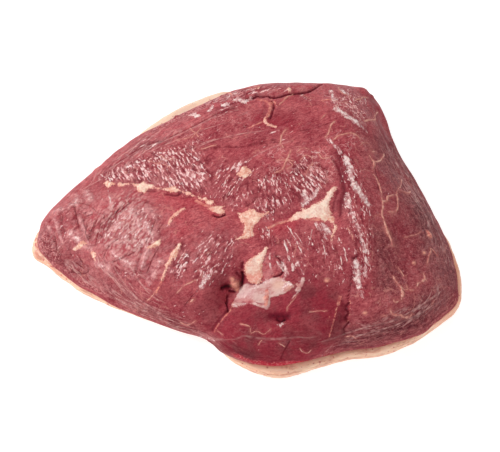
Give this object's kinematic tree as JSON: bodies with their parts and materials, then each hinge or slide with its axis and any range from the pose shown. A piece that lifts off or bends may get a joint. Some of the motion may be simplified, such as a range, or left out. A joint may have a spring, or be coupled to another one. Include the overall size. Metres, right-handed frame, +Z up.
{
  "type": "raw picanha",
  "caption": "Whole raw rump cap of beef: a thick, roughly triangular muscle tapering to a thin tip, lying on its cap of fat.",
  "frame": {"origin": "on the surface the meat lies on, under the middle of its box", "axes": "+X away from the thin tip, along the length; +Y towards the far side, across the width; +Z up out of the fat cap through the muscle's upper face"},
  "size_m": [0.2614, 0.1917, 0.0534],
  "materials": {
    "lean": "moist raw beef muscle, satin, with fine long fibres and pale marbling",
    "fat": "creamy pink beef fat, waxy satin"
  },
  "bodies": {
    "root": {"lean": "lean", "fat_cap": "fat"}
  },
  "joints": []
}
